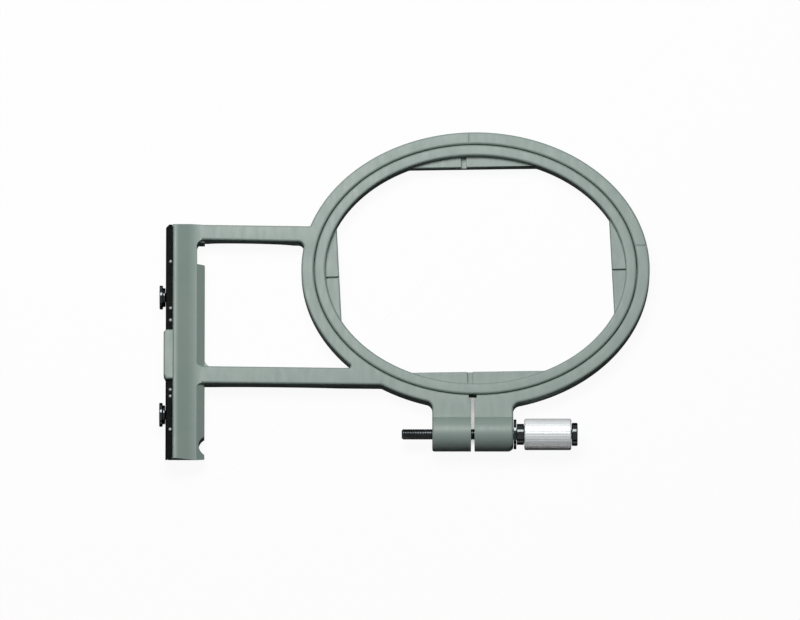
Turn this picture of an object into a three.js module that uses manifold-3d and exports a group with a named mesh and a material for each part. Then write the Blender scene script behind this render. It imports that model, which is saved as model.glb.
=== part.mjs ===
import * as THREE from 'three';
import { mergeVertices } from 'three/addons/utils/BufferGeometryUtils.js';
import Module from 'manifold-3d';

const wasm = await Module();
wasm.setup();

// A machine embroidery hoop: a split outer ring on two arms and a connector bar,
// an inner ring that presses the fabric into it, and a thumb screw that clamps the split.
// X runs along the hoop, Y across it and Z up from the table. All sizes are in millimetres.

// Sewing field and rings
const FIELD_LENGTH = 130;
const FIELD_WIDTH = 100;
const END_TAB_REACH = 6.3;
const SIDE_TAB_REACH = 5.6;
const INNER_WALL = 5.4;
const OUTER_WALL = 5.8;
const RING_HEIGHT = 10;
const RING_EDGE = 1;
const RING_CLEARANCE = 0.55;
const TAB_TOP = 6.8;
const TAB_THICKNESS = 4.8;
const END_TAB_LEAN_DEGREES = 2.9;
const SIDE_TAB_LEAN_DEGREES = 0.9;
const SIDE_TAB_SHIFT = 0.55;
const MARK_LEAN_DEGREES = 1.6;
const END_MARK_WIDTH = 1.1;
const END_MARK_SHIFT = -1.6;
const END_MARK_DEPTH = 2.4;
const SIDE_MARK_WIDTH = 2.6;
const SIDE_MARK_SHIFT = -4.1;
const SIDE_MARK_DEPTH = 0.8;

// Arms from the ring to the connector bar
const ARM_SPAN = 49.75;
const ARM_SPACING = 69.8;
const ARM_DROP = 0.9;
const UPPER_ARM_WIDTH = 7.6;
const LOWER_ARM_WIDTH = 8.4;
const LOWER_ARM_RISE = 15.35;
const ARM_RING_FILLET = 2.5;
const ARM_RING_CREASE = 0.9;
const UPPER_BAR_FILLET = 4.5;
const LOWER_BAR_FILLET = 7.2;
const UPPER_ARM_ARCH = 3.2;
const LOWER_ARM_ARCH = 1.5;
const ARCH_MARGIN = 2.5;

// Clamp ears below the ring
const CLAMP_SHIFT = -1.4;
const CLAMP_GAP = 1.7;
const EAR_LENGTH = 18.4;
const EAR_FILLET = 3.5;
const EAR_EDGE = 1;
const EAR_CHAMFER = 2.4;
const BARREL_RADIUS = 8.2;
const SCREW_DROP = 13.15;
const RELIEF_WIDTH = 3.8;
const RELIEF_DEPTH = 1.85;

// Clamp screw with its knob, washer and nut
const SCREW_RADIUS = 2.5;
const SCREW_END = 14.55;
const SCREW_CHAMFER = 0.6;
const WASHER_RADIUS = 7.1;
const WASHER_THICKNESS = 1.3;
const NECK_RADIUS = 5;
const NECK_LENGTH = 3.4;
const CORE_RADIUS = 4;
const KNOB_RADIUS = 7.5;
const KNOB_LENGTH = 22.3;
const KNOB_EDGE = 0.6;
const FLUTE_COUNT = 36;
const FLUTE_DEPTH = 0.35;
const FLUTE_LAND = 0.5;
const CAP_RADIUS = 5.5;
const CAP_LENGTH = 2.8;
const CAP_EDGE = 0.5;
const CAP_PIN_RADIUS = 2;
const CAP_PIN_LENGTH = 5;
const CLAMP_NUT_WIDTH = 8;
const CLAMP_NUT_THICKNESS = 4;

// Connector bar
const BAR_WIDTH = 11.3;
const BAR_HEAD = 35.15;
const BAR_TAIL = 23;
const BAR_WALL = 2.4;
const BAR_CORNER = 1.2;
const RIDGE_HEIGHT = 14.5;
const RIDGE_ROUND = 2;
const SLOPE_TILT_DEGREES = 29;
const SLOPE_BLEND = 14;
const HEAD_LEAN = 1.1;
const END_LEAN = 3;
const POCKET_TOP = 10;
const POCKET_HEAD_WALL = 3;
const POCKET_TAIL_WALL = 6;
const RIB_THICKNESS = 1.6;
const RIB_OFFSET = 9;

// Ledge, lug and flange of the bar
const LEDGE_WIDTH = 2.25;
const LEDGE_HEIGHT = 10.4;
const LUG_LENGTH = 23.1;
const LUG_REACH = 4.4;
const LUG_BOTTOM = 4.3;
const LUG_TOP = 13.5;
const LUG_CHAMFER = 1.2;
const FLANGE_WIDTH = 3.7;
const FLANGE_ROOT_HEIGHT = 10.2;
const FLANGE_EDGE_HEIGHT = 7.1;
const FLANGE_NOTCH_DROP = 1.7;
const FLANGE_NOTCH_LENGTH = 10.3;
const FLANGE_BITE_RADIUS = 4.8;
const FLANGE_BITE_DEPTH = 2.7;
const FLANGE_BITE_RISE = 7.6;

// Connector plate with its studs, stud nuts and rivets
const PLATE_THICKNESS = 1;
const PLATE_BOTTOM = 1;
const PLATE_BEND = 0.5;
const PLATE_HEAD_MARGIN = 0.6;
const PLATE_TAIL_MARGIN = 0.2;
const PLATE_CORNER = 1.6;
const STUD_PITCH = 57.4;
const STUD_HEIGHT = 6.2;
const STUD_HEAD_RADIUS = 5.7;
const STUD_HEAD_LENGTH = 1.6;
const STUD_NECK_RADIUS = 4.5;
const STUD_NECK_LENGTH = 1.2;
const STUD_EDGE = 0.35;
const STUD_SHANK_RADIUS = 2;
const STUD_TAIL = 1;
const STUD_NUT_WIDTH = 7;
const STUD_NUT_THICKNESS = 3.2;
const RIVET_HEAD_RADIUS = 0.9;
const RIVET_HEAD_HEIGHT = 0.6;
const RIVET_SHANK_RADIUS = 0.5;
const RIVET_SHANK_LENGTH = 4;
const RIVET_OFFSETS = [45, 22.2, 16.3, -17.7, -20.9, -37.1];

// Assembly gap between pieces, and how far a cutter runs past the surface it cuts
const FIT_GAP = 0.2;
const CUT_OVER = 1;

// Height of an arch curve's control points over its crown
const ARCH_LIFT = 4 / 3;

// Halvings of the search for a fillet's place on the rim
const SEARCH_STEPS = 50;

// Steps of the curves
const OVAL_STEPS = 96;
const FILLET_STEPS = 5;
const BARREL_STEPS = 24;
const SLOPE_STEPS = 8;
const ROUND_STEPS = 32;
const RIVET_STEPS = 12;
const DOME_STEPS = 3;
const EDGE_STEPS = 2;

// Ovals of the ring walls, each with half axes a along X and b along Y
const innerHole = { a: FIELD_LENGTH / 2 + END_TAB_REACH, b: FIELD_WIDTH / 2 + SIDE_TAB_REACH };
const innerRim = grown(innerHole, INNER_WALL);
const outerBore = grown(innerRim, RING_CLEARANCE);
const outerRim = grown(outerBore, OUTER_WALL);

// Places along Y
const lowerArmY = LOWER_ARM_RISE - outerRim.b;
const upperArmY = lowerArmY + ARM_SPACING;
const upperArm = armEdges(upperArmY, UPPER_ARM_WIDTH);
const lowerArm = armEdges(lowerArmY, LOWER_ARM_WIDTH);
const barTop = upperArm.bar.top;
const upperStudY = barTop - BAR_HEAD;
const lowerStudY = upperStudY - STUD_PITCH;
const lugY = (upperStudY + lowerStudY) / 2;
const barBottom = lowerStudY - BAR_TAIL;
const screwY = -outerRim.b - SCREW_DROP;
const screwZ = BARREL_RADIUS;

// Places along X
const slit = { left: CLAMP_SHIFT - CLAMP_GAP / 2, right: CLAMP_SHIFT + CLAMP_GAP / 2 };
const ears = { left: slit.left - EAR_LENGTH, right: slit.right + EAR_LENGTH };
const clampNutX = slit.left - EAR_LENGTH / 2;
const washerX = ears.right + FIT_GAP;
const neckX = washerX + WASHER_THICKNESS + FIT_GAP;
const knobX = neckX + NECK_LENGTH + FIT_GAP;
const capX = knobX + KNOB_LENGTH + FIT_GAP;
const barRight = -outerRim.a - ARM_SPAN;
const barLeft = barRight - BAR_WIDTH;
const ledgeLeft = barLeft - LEDGE_WIDTH;
const pocketLeft = ledgeLeft + BAR_WALL;
const plateRight = ledgeLeft - FIT_GAP;
const plateLeft = plateRight - PLATE_THICKNESS;
const studX = plateLeft - FIT_GAP;
const studNutX = pocketLeft + FIT_GAP;
const rivetX = barLeft - FIT_GAP - RIVET_HEAD_RADIUS;

// Heights of the connector plate's folded lip
const lipBottom = LEDGE_HEIGHT + FIT_GAP;
const lipTop = lipBottom + PLATE_THICKNESS;

function grown(oval, growth) {
  return { a: oval.a + growth, b: oval.b + growth };
}

// Edges of an arm along Y where it meets the bar and, a little lower, the ring
function armEdges(y, width) {
  const half = width / 2;
  const drop = ARM_DROP / 2;
  return {
    bar: { top: y + drop + half, bottom: y + drop - half },
    ring: { top: y - drop + half, bottom: y - drop - half },
  };
}

// Points of a curve given by a function of an angle, both ends included
function sweep(from, to, steps, pointAt) {
  return Array.from({ length: steps + 1 }, (_, i) => pointAt(from + ((to - from) * i) / steps));
}

function polar(radius, angle) {
  return new THREE.Vector2(radius * Math.cos(angle), radius * Math.sin(angle));
}

function arc(centre, radius, from, to, steps = FILLET_STEPS) {
  return sweep(from, to, steps, (angle) => polar(radius, angle).add(centre));
}

function ovalPoint(oval, angle) {
  return new THREE.Vector2(oval.a * Math.cos(angle), oval.b * Math.sin(angle));
}

function ovalNormal(oval, angle) {
  return new THREE.Vector2(Math.cos(angle) / oval.a, Math.sin(angle) / oval.b).normalize();
}

function ovalArc(oval, from, to) {
  const steps = Math.ceil((Math.abs(to - from) / (2 * Math.PI)) * OVAL_STEPS);
  return sweep(from, to, steps, (angle) => ovalPoint(oval, angle));
}

function wholeOval(oval) {
  return ovalArc(oval, 0, 2 * Math.PI).slice(0, -1);
}

// A fillet circle that touches the outer rim from outside, with its centre at a given x or y.
// Along the left half of the rim y falls with the angle, and along the lower half x grows.
function rimFillet(axis, level, radius) {
  const sign = axis === 'y' ? -1 : 1;
  let low = axis === 'y' ? Math.PI / 2 : Math.PI;
  let high = low + Math.PI;
  const centreAt = (angle) => ovalPoint(outerRim, angle)
    .addScaledVector(ovalNormal(outerRim, angle), radius);
  for (let i = 0; i < SEARCH_STEPS; i += 1) {
    const middle = (low + high) / 2;
    if (sign * (centreAt(middle)[axis] - level) < 0) {
      low = middle;
    } else {
      high = middle;
    }
  }
  const inward = ovalNormal(outerRim, low).negate();
  return { rim: low, centre: centreAt(low), touch: Math.atan2(inward.y, inward.x) };
}

// Outline of the outer moulding: ring, arms, bar and the roots of the clamp ears
function mouldingOutline() {
  const quarter = Math.PI / 2;
  const rightEar = rimFillet('x', ears.right + EAR_FILLET, EAR_FILLET);
  const leftEar = rimFillet('x', ears.left - EAR_FILLET, EAR_FILLET);
  const armTop = rimFillet('y', upperArm.ring.top + ARM_RING_CREASE, ARM_RING_CREASE);
  const armFoot = rimFillet('y', lowerArm.ring.bottom - ARM_RING_FILLET, ARM_RING_FILLET);
  const barCorner = { x: barLeft + BAR_CORNER, y: barTop - BAR_CORNER };
  const barFillet = { x: barRight + LOWER_BAR_FILLET, y: lowerArm.bar.bottom - LOWER_BAR_FILLET };
  return [
    ...arc(rightEar.centre, EAR_FILLET, Math.PI, rightEar.touch),
    ...ovalArc(outerRim, rightEar.rim, armTop.rim + 2 * Math.PI).slice(1, -1),
    ...arc(armTop.centre, ARM_RING_CREASE, armTop.touch, -quarter),
    ...arc(barCorner, BAR_CORNER, quarter, Math.PI),
    new THREE.Vector2(barLeft, barBottom),
    new THREE.Vector2(barRight, barBottom),
    ...arc(barFillet, LOWER_BAR_FILLET, Math.PI, quarter),
    ...arc(armFoot.centre, ARM_RING_FILLET, quarter, armFoot.touch),
    ...ovalArc(outerRim, armFoot.rim, leftEar.rim).slice(1, -1),
    ...arc(leftEar.centre, EAR_FILLET, leftEar.touch, 0),
    new THREE.Vector2(ears.left, screwY),
    new THREE.Vector2(ears.right, screwY),
  ];
}

// Outline of the window between the arms, the bar and the ring
function windowOutline() {
  const quarter = Math.PI / 2;
  const low = rimFillet('y', lowerArm.ring.top + ARM_RING_CREASE, ARM_RING_CREASE);
  const high = rimFillet('y', upperArm.ring.bottom - ARM_RING_FILLET, ARM_RING_FILLET);
  const lowCorner = { x: barRight + LOWER_BAR_FILLET, y: lowerArm.bar.top + LOWER_BAR_FILLET };
  const highCorner = { x: barRight + UPPER_BAR_FILLET, y: upperArm.bar.bottom - UPPER_BAR_FILLET };
  return [
    ...arc(lowCorner, LOWER_BAR_FILLET, Math.PI, 3 * quarter),
    ...arc(low.centre, ARM_RING_CREASE, -quarter, low.touch),
    ...ovalArc(outerRim, low.rim, high.rim).slice(1, -1),
    ...arc(high.centre, ARM_RING_FILLET, high.touch, quarter),
    ...arc(highCorner, UPPER_BAR_FILLET, quarter, Math.PI),
  ];
}

function shapeWithHoles(outline, ...holes) {
  const shape = new THREE.Shape(outline);
  shape.holes = holes.map((points) => new THREE.Path(points));
  return shape;
}

// An extrusion of a given whole depth, with its end edges rounded off inside the outline
function extruded(shape, depth, edge = 0) {
  const geometry = new THREE.ExtrudeGeometry(shape, {
    depth: depth - 2 * edge,
    bevelEnabled: edge > 0,
    bevelThickness: edge,
    bevelSize: edge,
    bevelOffset: -edge,
    bevelSegments: EDGE_STEPS,
    curveSegments: ROUND_STEPS / 2,
  });
  return geometry.translate(0, 0, edge);
}

// A plan shape raised between two heights
function raised(shape, bottom, top, edge = 0) {
  return extruded(shape, top - bottom, edge).translate(0, 0, bottom);
}

const xAxis = new THREE.Vector3(1, 0, 0);
const yAxis = new THREE.Vector3(0, 1, 0);
const zAxis = new THREE.Vector3(0, 0, 1);

// A side profile drawn in Y and Z, run along X
function runAlongX(shape, from, to, edge = 0) {
  const turn = new THREE.Matrix4().makeBasis(yAxis, zAxis, xAxis);
  return extruded(shape, to - from, edge).applyMatrix4(turn).translate(from, 0, 0);
}

// A front profile drawn in X and Z, run along Y
function runAlongY(shape, from, to) {
  const turn = new THREE.Matrix4().makeBasis(xAxis, zAxis, yAxis.clone().negate());
  return extruded(shape, to - from).applyMatrix4(turn).translate(0, to, 0);
}

function block(x, y, z) {
  const geometry = new THREE.BoxGeometry(x[1] - x[0], y[1] - y[0], z[1] - z[0]);
  return geometry.translate((x[0] + x[1]) / 2, (y[0] + y[1]) / 2, (z[0] + z[1]) / 2);
}

// A round bar along X, used for bores
function roundAlongX(radius, from, to, y, z) {
  const geometry = new THREE.CylinderGeometry(radius, radius, to - from, ROUND_STEPS);
  return geometry.rotateZ(-Math.PI / 2).translate((from + to) / 2, y, z);
}

// A turned piece along X from a profile of [radius, distance along X] pairs
function turned(profile, steps = ROUND_STEPS) {
  const points = profile.map(([radius, along]) => new THREE.Vector2(radius, along));
  return new THREE.LatheGeometry(points, steps).rotateZ(-Math.PI / 2);
}

function solid(geometry) {
  const bare = geometry.clone();
  bare.deleteAttribute('normal');
  bare.deleteAttribute('uv');
  const merged = mergeVertices(bare);
  const corners = merged.index.array;
  const triVerts = [];
  for (let i = 0; i < corners.length; i += 3) {
    const [a, b, c] = corners.slice(i, i + 3);
    if (a !== b && b !== c && c !== a) {
      triVerts.push(a, b, c);
    }
  }
  return new wasm.Manifold(new wasm.Mesh({
    numProp: 3,
    vertProperties: merged.attributes.position.array,
    triVerts: new Uint32Array(triVerts),
  }));
}

function geometryOf(body) {
  const { vertProperties, triVerts } = body.getMesh();
  const geometry = new THREE.BufferGeometry();
  geometry.setAttribute('position', new THREE.BufferAttribute(vertProperties, 3));
  geometry.setIndex(new THREE.BufferAttribute(triVerts, 1));
  geometry.computeVertexNormals();
  return geometry;
}

function joined(first, ...others) {
  return others.reduce((body, geometry) => body.add(solid(geometry)), first);
}

function cut(first, ...cutters) {
  return cutters.reduce((body, geometry) => body.subtract(solid(geometry)), first);
}

// A triangle that cuts a chamfer off a corner, whose material lies inward along X and Y
function cornerShape(corner, inward, chamfer) {
  const reach = chamfer + CUT_OVER;
  const x = corner.x - inward.x * CUT_OVER;
  const y = corner.y - inward.y * CUT_OVER;
  return new THREE.Shape([
    new THREE.Vector2(x, y),
    new THREE.Vector2(corner.x + inward.x * reach, y),
    new THREE.Vector2(x, corner.y + inward.y * reach),
  ]);
}

// Side profile of the clamp ears: a web level with the ring that ends in a barrel for the screw
function earProfile() {
  const crease = Math.asin((RING_HEIGHT - screwZ) / BARREL_RADIUS);
  const root = -outerRim.b + OUTER_WALL / 2;
  const axis = { x: screwY, y: screwZ };
  const barrel = arc(axis, BARREL_RADIUS, -Math.PI / 2, crease - 2 * Math.PI, BARREL_STEPS);
  return new THREE.Shape([
    new THREE.Vector2(root, 0),
    ...barrel,
    new THREE.Vector2(root, RING_HEIGHT),
  ]);
}

// Front profile of the bar: a rounded ridge whose slope blends into the top of the arms
function ridgeProfile() {
  const tilt = THREE.MathUtils.degToRad(SLOPE_TILT_DEGREES);
  const ridgeCentre = { x: barLeft + RIDGE_ROUND, y: RIDGE_HEIGHT - RIDGE_ROUND };
  const crown = arc(ridgeCentre, RIDGE_ROUND, Math.PI, Math.PI / 2 - tilt);
  const slopeStart = crown.at(-1);
  const blendZ = RING_HEIGHT + SLOPE_BLEND;
  const slopeDrop = slopeStart.y - blendZ + SLOPE_BLEND * Math.cos(tilt);
  const blendX = slopeStart.x + slopeDrop / Math.tan(tilt) + SLOPE_BLEND * Math.sin(tilt);
  const down = -Math.PI / 2;
  const blend = arc({ x: blendX, y: blendZ }, SLOPE_BLEND, down - tilt, down, SLOPE_STEPS);
  return new THREE.Shape([
    new THREE.Vector2(barLeft, 0),
    ...crown,
    ...blend,
    new THREE.Vector2(blendX, 0),
  ]);
}

// The sloping flange along the bar's inner side, with a square notch and a round bite
function flange() {
  const outer = barRight + FLANGE_WIDTH;
  const root = barRight - CUT_OVER;
  const notchTop = upperArm.bar.bottom - FLANGE_NOTCH_DROP;
  const reach = [barRight, outer + CUT_OVER];
  const height = [-CUT_OVER, FLANGE_ROOT_HEIGHT + CUT_OVER];
  const profile = new THREE.Shape([
    new THREE.Vector2(root, 0),
    new THREE.Vector2(outer, 0),
    new THREE.Vector2(outer, FLANGE_EDGE_HEIGHT),
    new THREE.Vector2(barRight, FLANGE_ROOT_HEIGHT),
    new THREE.Vector2(root, FLANGE_ROOT_HEIGHT),
  ]);
  const strip = runAlongY(profile, barBottom, upperArmY);
  const notch = block(reach, [notchTop - FLANGE_NOTCH_LENGTH, notchTop], height);
  const bite = new THREE.CylinderGeometry(
    FLANGE_BITE_RADIUS,
    FLANGE_BITE_RADIUS,
    height[1] - height[0],
    ROUND_STEPS,
  );
  const biteX = outer - FLANGE_BITE_DEPTH + FLANGE_BITE_RADIUS;
  bite.rotateX(Math.PI / 2).translate(biteX, barBottom + FLANGE_BITE_RISE, FLANGE_ROOT_HEIGHT / 2);
  return cut(solid(strip), notch, bite);
}

// The lug that locates the bar in the carriage, with its outer corners cut off
function lug() {
  const left = barLeft - LUG_REACH;
  const half = LUG_LENGTH / 2;
  const root = barLeft + RIDGE_ROUND;
  const outline = [
    new THREE.Vector2(root, lugY - half),
    new THREE.Vector2(root, lugY + half),
    new THREE.Vector2(left + LUG_CHAMFER, lugY + half),
    new THREE.Vector2(left, lugY + half - LUG_CHAMFER),
    new THREE.Vector2(left, lugY - half + LUG_CHAMFER),
    new THREE.Vector2(left + LUG_CHAMFER, lugY - half),
  ];
  return raised(new THREE.Shape(outline), LUG_BOTTOM, LUG_TOP);
}

// The hollow under the bar, parted by cross ribs beside the studs and under the lug
function barPocket() {
  const x = [pocketLeft, barRight - BAR_WALL];
  const y = [barBottom + POCKET_TAIL_WALL, barTop - POCKET_HEAD_WALL];
  const hollow = block(x, y, [-CUT_OVER, POCKET_TOP]);
  const ribs = [
    upperStudY + RIB_OFFSET,
    upperStudY - RIB_OFFSET,
    lugY,
    lowerStudY + RIB_OFFSET,
    lowerStudY - RIB_OFFSET,
  ];
  const half = RIB_THICKNESS / 2;
  const ribX = [x[0] - CUT_OVER, x[1] + CUT_OVER];
  const ribZ = [0, POCKET_TOP + CUT_OVER];
  return cut(solid(hollow), ...ribs.map((at) => block(ribX, [at - half, at + half], ribZ)));
}

// The shallow arch that lifts the underside of an arm between the bar and the ring
function armArch(arm, rise) {
  const rimAt = (y) => -outerRim.a * Math.sqrt(1 - (y / outerRim.b) ** 2);
  const from = barRight + LOWER_BAR_FILLET + ARCH_MARGIN;
  const rim = Math.min(rimAt(arm.ring.top), rimAt(arm.ring.bottom));
  const to = rim - ARM_RING_FILLET - ARCH_MARGIN;
  const shape = new THREE.Shape();
  shape.moveTo(from, -CUT_OVER);
  shape.lineTo(from, 0);
  shape.bezierCurveTo(from, ARCH_LIFT * rise, to, ARCH_LIFT * rise, to, 0);
  shape.lineTo(to, -CUT_OVER);
  return runAlongY(shape, arm.ring.bottom - CUT_OVER, arm.bar.top + CUT_OVER);
}

// A wedge that makes the free end of the bar and its plate lean in towards the foot
function endLean() {
  const foot = barBottom + END_LEAN * (1 + CUT_OVER / RING_HEIGHT);
  const shape = new THREE.Shape([
    new THREE.Vector2(barBottom, RING_HEIGHT),
    new THREE.Vector2(barBottom - CUT_OVER, RING_HEIGHT),
    new THREE.Vector2(barBottom - CUT_OVER, -CUT_OVER),
    new THREE.Vector2(foot, -CUT_OVER),
  ]);
  return runAlongX(shape, plateLeft - CUT_OVER, barRight + FLANGE_WIDTH + CUT_OVER);
}

// A wedge that makes the ridge's head end lean back above the top of the arms
function headLean() {
  const rise = RIDGE_HEIGHT - RING_HEIGHT;
  const top = RIDGE_HEIGHT + CUT_OVER;
  const shape = new THREE.Shape([
    new THREE.Vector2(barTop, RING_HEIGHT),
    new THREE.Vector2(barTop + CUT_OVER, RING_HEIGHT),
    new THREE.Vector2(barTop + CUT_OVER, top),
    new THREE.Vector2(barTop - HEAD_LEAN * (1 + CUT_OVER / rise), top),
  ]);
  return runAlongX(shape, barLeft - CUT_OVER, barRight + LOWER_BAR_FILLET);
}

function outerFrame() {
  const plan = shapeWithHoles(mouldingOutline(), wholeOval(outerBore), windowOutline());
  const ridge = solid(runAlongY(ridgeProfile(), barBottom, barTop));
  const ridgeTop = solid(raised(plan, 0, RIDGE_HEIGHT + CUT_OVER)).intersect(ridge);
  const ledgeY = [barBottom, barTop - BAR_CORNER];
  const ledge = block([ledgeLeft, barLeft + CUT_OVER], ledgeY, [0, LEDGE_HEIGHT]);
  const earsBlock = runAlongX(earProfile(), ears.left, ears.right, EAR_EDGE);
  const moulding = joined(solid(raised(plan, 0, RING_HEIGHT, RING_EDGE)), earsBlock, ledge, lug())
    .add(ridgeTop)
    .add(flange())
    .subtract(barPocket());

  const earFoot = screwY - BARREL_RADIUS;
  const throughHeight = [-CUT_OVER, screwZ + BARREL_RADIUS + CUT_OVER];
  const earCorner = cornerShape({ x: ears.right, y: earFoot }, { x: -1, y: 1 }, EAR_CHAMFER);
  const reliefBottom = -outerBore.b - RELIEF_DEPTH;
  const relief = [CLAMP_SHIFT - RELIEF_WIDTH / 2, CLAMP_SHIFT + RELIEF_WIDTH / 2];
  const nutSlot = CLAMP_NUT_WIDTH / 2 + FIT_GAP;
  const nutHalf = CLAMP_NUT_THICKNESS / 2 + FIT_GAP;
  const clampCuts = [
    block([slit.left, slit.right], [earFoot - CUT_OVER, -innerRim.b], throughHeight),
    block(relief, [reliefBottom, -innerRim.b], throughHeight),
    roundAlongX(SCREW_RADIUS + FIT_GAP, ears.left - CUT_OVER, ears.right + CUT_OVER, screwY, screwZ),
    block(
      [clampNutX - nutHalf, clampNutX + nutHalf],
      [screwY - nutSlot, screwY + nutSlot],
      [-CUT_OVER, screwZ + nutSlot],
    ),
    raised(earCorner, ...throughHeight),
  ];
  const studBores = [upperStudY, lowerStudY].map((y) => roundAlongX(
    STUD_SHANK_RADIUS + FIT_GAP,
    ledgeLeft - CUT_OVER,
    pocketLeft + CUT_OVER,
    y,
    STUD_HEIGHT,
  ));
  const rivetBores = RIVET_OFFSETS.map((offset) => rivetBore(lugY + offset));
  const arches = [armArch(upperArm, UPPER_ARM_ARCH), armArch(lowerArm, LOWER_ARM_ARCH)];
  return cut(moulding, ...clampCuts, ...studBores, ...rivetBores, ...arches, headLean(), endLean());
}

// A blind bore for a rivet, from above the plate's lip down into the ledge
function rivetBore(y) {
  const bottom = LEDGE_HEIGHT - RIVET_SHANK_LENGTH - FIT_GAP;
  const top = lipTop + CUT_OVER;
  const radius = RIVET_SHANK_RADIUS + FIT_GAP;
  const geometry = new THREE.CylinderGeometry(radius, radius, top - bottom, RIVET_STEPS);
  return geometry.rotateX(Math.PI / 2).translate(rivetX, y, (top + bottom) / 2);
}

// The inner ring: an oval wall with four flat tabs that bound the sewing field, each with a mark
function innerRing() {
  const section = shapeWithHoles(wholeOval(innerRim), wholeOval(innerHole));
  const wall = raised(section, 0, RING_HEIGHT, RING_EDGE);
  const tabOval = wholeOval(grown(innerHole, INNER_WALL / 2));
  const tabs = raised(new THREE.Shape(tabOval), TAB_TOP - TAB_THICKNESS, TAB_TOP);
  const [endTabLean, sideTabLean, markLean] = [
    END_TAB_LEAN_DEGREES,
    SIDE_TAB_LEAN_DEGREES,
    MARK_LEAN_DEGREES,
  ].map(THREE.MathUtils.degToRad);
  const endX = FIELD_LENGTH / 2;
  const sideY = FIELD_WIDTH / 2;
  const across = [-innerRim.a, innerRim.a];
  const through = [-CUT_OVER, RING_HEIGHT];
  const betweenEnds = block([-endX, endX], across, through).rotateZ(endTabLean);
  const betweenSides = block(across, [-sideY, sideY], through).rotateZ(sideTabLean);
  const field = solid(betweenEnds).intersect(solid(betweenSides.translate(0, SIDE_TAB_SHIFT, 0)));
  const endMarkZ = [TAB_TOP - END_MARK_DEPTH, TAB_TOP + CUT_OVER];
  const sideMarkZ = [TAB_TOP - SIDE_MARK_DEPTH, TAB_TOP + CUT_OVER];
  const endMarkY = [END_MARK_SHIFT - END_MARK_WIDTH / 2, END_MARK_SHIFT + END_MARK_WIDTH / 2];
  const sideMarkX = [SIDE_MARK_SHIFT - SIDE_MARK_WIDTH / 2, SIDE_MARK_SHIFT + SIDE_MARK_WIDTH / 2];
  const endMarks = block([-innerHole.a, innerHole.a], endMarkY, endMarkZ).rotateZ(markLean);
  const sideMarks = block(sideMarkX, [-innerHole.b, innerHole.b], sideMarkZ).rotateZ(markLean);
  return cut(solid(tabs).subtract(field), endMarks, sideMarks).add(solid(wall));
}

function clampScrew() {
  return turned([
    [0, ears.left - SCREW_END],
    [SCREW_RADIUS - SCREW_CHAMFER, ears.left - SCREW_END],
    [SCREW_RADIUS, ears.left - SCREW_END + SCREW_CHAMFER],
    [SCREW_RADIUS, neckX],
    [NECK_RADIUS, neckX],
    [NECK_RADIUS, neckX + NECK_LENGTH],
    [CORE_RADIUS, neckX + NECK_LENGTH],
    [CORE_RADIUS, knobX + KNOB_LENGTH],
    [CAP_PIN_RADIUS + FIT_GAP, knobX + KNOB_LENGTH],
    [CAP_PIN_RADIUS + FIT_GAP, capX - CAP_PIN_LENGTH - FIT_GAP],
    [0, capX - CAP_PIN_LENGTH - FIT_GAP],
  ]);
}

// The gripping sleeve of the knob: V flutes round a smooth bore, with the ends turned down
function knobSleeve() {
  const pitch = (2 * Math.PI) / FLUTE_COUNT;
  const land = pitch * FLUTE_LAND;
  const outline = [];
  for (let i = 0; i < FLUTE_COUNT; i += 1) {
    const start = i * pitch;
    const groove = start + (land + pitch) / 2;
    outline.push(polar(KNOB_RADIUS, start), polar(KNOB_RADIUS, start + land));
    outline.push(polar(KNOB_RADIUS - FLUTE_DEPTH, groove));
  }
  const bore = arc({ x: 0, y: 0 }, CORE_RADIUS + FIT_GAP, 0, 2 * Math.PI, ROUND_STEPS).slice(0, -1);
  const fluted = solid(runAlongX(shapeWithHoles(outline, bore), 0, KNOB_LENGTH));
  const envelope = turned([
    [0, 0],
    [KNOB_RADIUS - KNOB_EDGE, 0],
    [KNOB_RADIUS + KNOB_EDGE, 2 * KNOB_EDGE],
    [KNOB_RADIUS + KNOB_EDGE, KNOB_LENGTH - 2 * KNOB_EDGE],
    [KNOB_RADIUS - KNOB_EDGE, KNOB_LENGTH],
    [0, KNOB_LENGTH],
  ]);
  return fluted.intersect(solid(envelope));
}

function knobEndCap() {
  return turned([
    [0, -CAP_PIN_LENGTH],
    [CAP_PIN_RADIUS, -CAP_PIN_LENGTH],
    [CAP_PIN_RADIUS, 0],
    [CAP_RADIUS, 0],
    [CAP_RADIUS, CAP_LENGTH - CAP_EDGE],
    [CAP_RADIUS - CAP_EDGE, CAP_LENGTH],
    [0, CAP_LENGTH],
  ]);
}

function thrustWasher() {
  const bore = SCREW_RADIUS + FIT_GAP;
  return turned([
    [bore, 0],
    [WASHER_RADIUS, 0],
    [WASHER_RADIUS, WASHER_THICKNESS],
    [bore, WASHER_THICKNESS],
    [bore, 0],
  ]);
}

// A nut along X with a number of flat sides, the first flat facing up
function nut(sides, width, thickness, boreRadius) {
  const cornerRadius = width / 2 / Math.cos(Math.PI / sides);
  const first = Math.PI / 2 + Math.PI / sides;
  const outline = arc({ x: 0, y: 0 }, cornerRadius, first, first + 2 * Math.PI, sides).slice(0, -1);
  const bore = arc({ x: 0, y: 0 }, boreRadius, 0, 2 * Math.PI, ROUND_STEPS).slice(0, -1);
  return runAlongX(shapeWithHoles(outline, bore), 0, thickness);
}

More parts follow.
